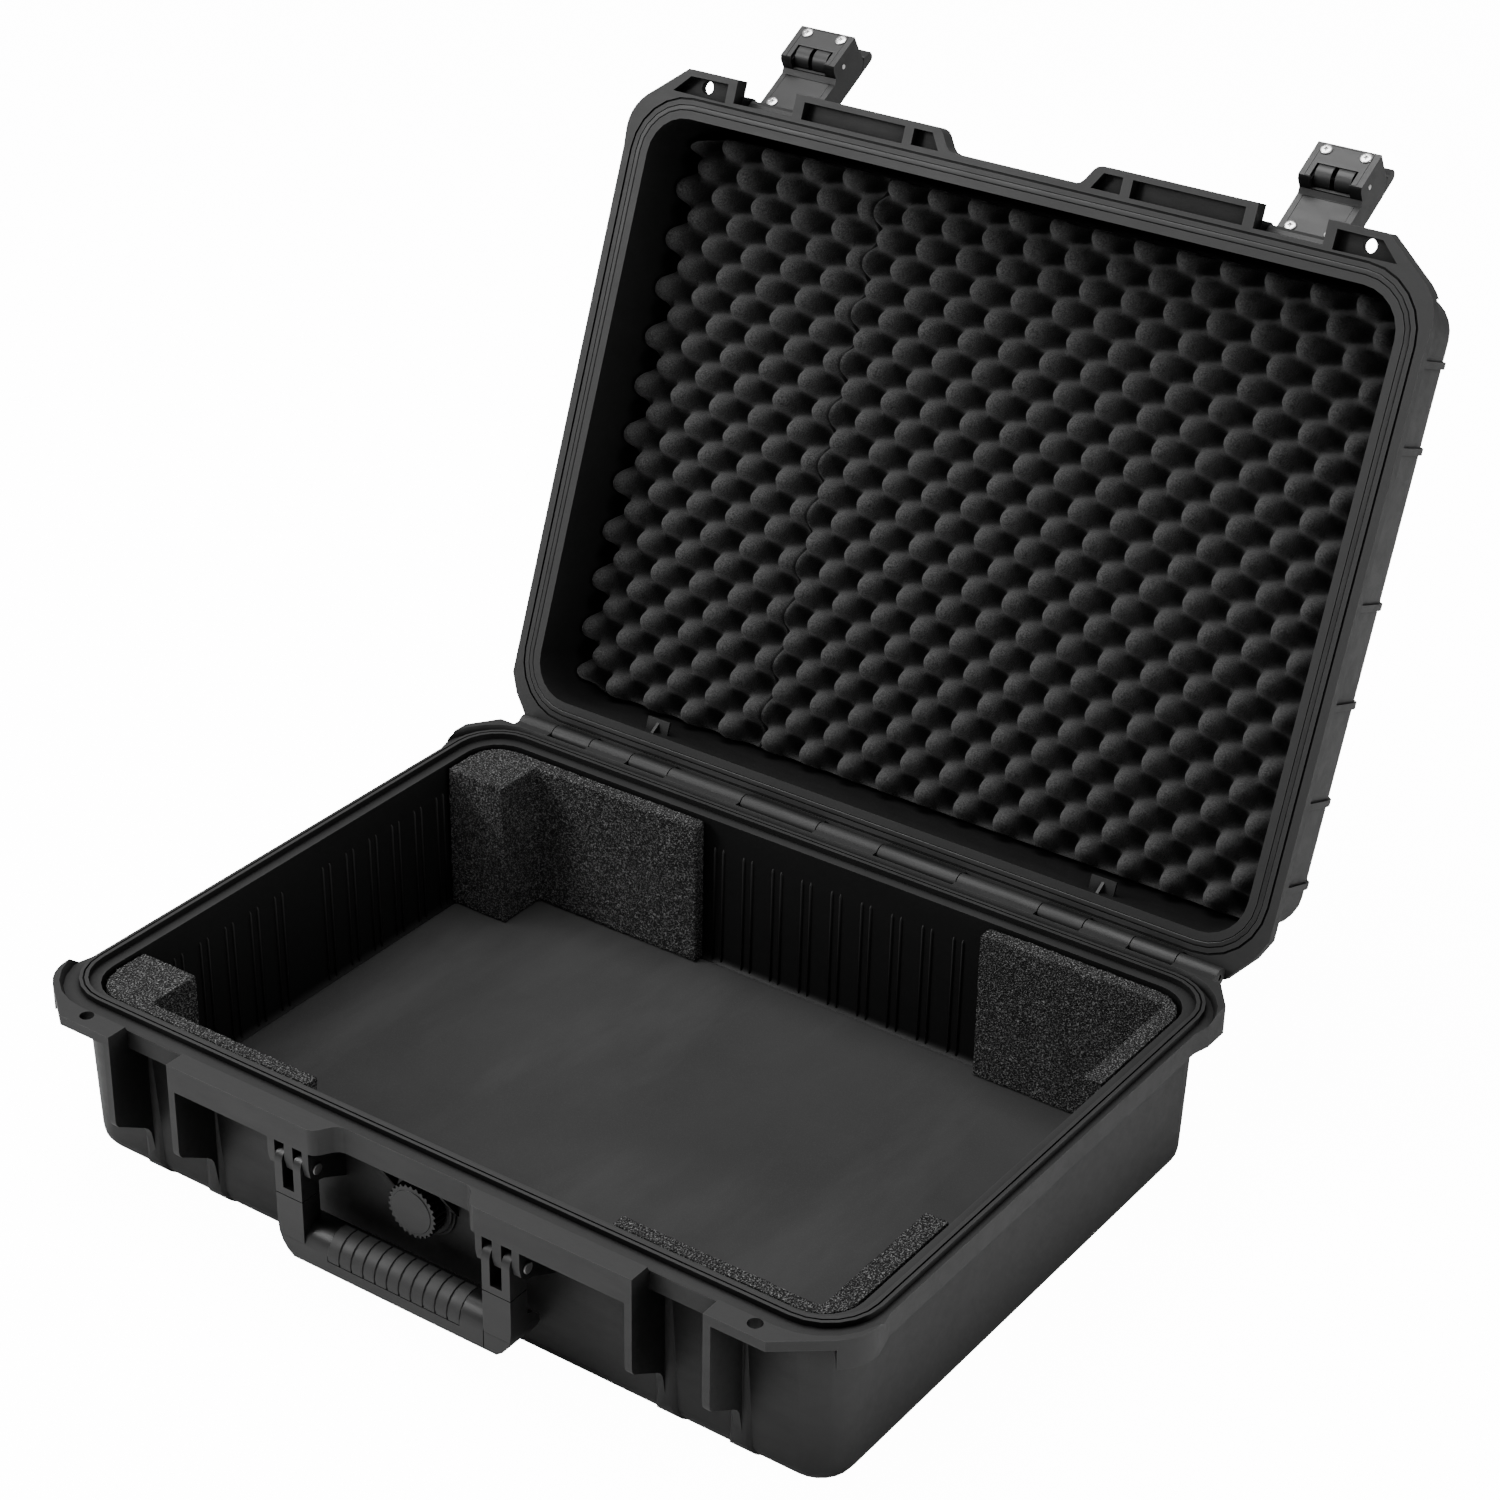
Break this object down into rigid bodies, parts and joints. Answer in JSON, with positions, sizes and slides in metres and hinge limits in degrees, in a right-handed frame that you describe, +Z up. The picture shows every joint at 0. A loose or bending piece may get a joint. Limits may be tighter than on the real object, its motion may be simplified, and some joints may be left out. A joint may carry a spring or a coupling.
{
  "type": "hard equipment case",
  "caption": "Moulded hard case with a hinged lid, bail handle, draw latches, pressure valve, convoluted lid foam and padded base corners.",
  "frame": {"origin": "centre of the base's bottom face", "axes": "+Z up, -Y is the front with the handle, +X to the right seen from the front"},
  "size_m": [0.594, 0.7205, 0.5612],
  "materials": {
    "case_plastic": "fine moulded texture",
    "fitting_plastic": "satin moulded",
    "grip_rubber": "matt",
    "seal_rubber": "satin",
    "fine_foam": "fine open-cell foam",
    "coarse_foam": "coarse open-cell foam",
    "mat_foam": "fine closed-cell foam",
    "bright_steel": "bright"
  },
  "bodies": {
    "base": {"base_shell": "case_plastic", "hinge_pin": "bright_steel", "handle_pin_left": "bright_steel", "handle_pin_right": "bright_steel", "valve_body": "case_plastic", "valve_nut": "case_plastic", "floor_mat": "mat_foam", "corner_foam_back_left": "coarse_foam", "corner_foam_back_right": "coarse_foam", "corner_foam_front_left": "coarse_foam", "corner_foam_front_right": "coarse_foam"},
    "valve_knob": {"valve_knob": "fitting_plastic", "valve_oring": "seal_rubber"},
    "handle": {"handle": "fitting_plastic", "handle_grip": "grip_rubber"},
    "lid": {"lid_shell": "case_plastic", "lid_seal": "seal_rubber", "lid_foam_left": "fine_foam", "lid_foam_right": "fine_foam", "latch_left_pivot_pin": "bright_steel", "latch_right_pivot_pin": "bright_steel"},
    "latch_left": {"latch_left_body": "fitting_plastic", "latch_left_arm_cover": "fitting_plastic", "latch_left_block_cover": "fitting_plastic", "latch_left_lever_pin": "bright_steel", "latch_left_screw_arm_outer": "bright_steel", "latch_left_screw_arm_inner": "bright_steel", "latch_left_screw_tip_outer": "bright_steel", "latch_left_screw_tip_inner": "bright_steel"},
    "latch_left_lever": {"latch_left_lever": "fitting_plastic"},
    "latch_right": {"latch_right_body": "fitting_plastic", "latch_right_arm_cover": "fitting_plastic", "latch_right_block_cover": "fitting_plastic", "latch_right_lever_pin": "bright_steel", "latch_right_screw_arm_outer": "bright_steel", "latch_right_screw_arm_inner": "bright_steel", "latch_right_screw_tip_outer": "bright_steel", "latch_right_screw_tip_inner": "bright_steel"},
    "latch_right_lever": {"latch_right_lever": "fitting_plastic"}
  },
  "joints": [
    {"name": "lid_hinge", "type": "hinge", "parent": "base", "child": "lid", "pos_m": [0, 0.227, 0.1124], "axis": [1, 0, 0], "range_deg": [-3, 110.46]},
    {"name": "handle_fold", "type": "hinge", "parent": "base", "child": "handle", "pos_m": [0, -0.226, 0.088], "axis": [-1, 0, 0], "range_deg": [0, 95]},
    {"name": "valve_knob_turn", "type": "hinge", "parent": "base", "child": "valve_knob", "pos_m": [0, -0.2, 0.078], "axis": [0, 1, 0], "range_deg": [0, 180]},
    {"name": "latch_left_pivot", "type": "hinge", "parent": "lid", "child": "latch_left", "pos_m": [-0.19315, 0.40846, 0.51753], "axis": [1, 0, 0], "range_deg": [-4, 129.4]},
    {"name": "latch_left_lever_release", "type": "hinge", "parent": "latch_left", "child": "latch_left_lever", "pos_m": [-0.19315, 0.45174, 0.54416], "axis": [-1, 0, 0], "range_deg": [0, 25]},
    {"name": "latch_right_pivot", "type": "hinge", "parent": "lid", "child": "latch_right", "pos_m": [0.19315, 0.40846, 0.51753], "axis": [1, 0, 0], "range_deg": [-4, 129.4]},
    {"name": "latch_right_lever_release", "type": "hinge", "parent": "latch_right", "child": "latch_right_lever", "pos_m": [0.19315, 0.45174, 0.54416], "axis": [-1, 0, 0], "range_deg": [0, 25]}
  ]
}
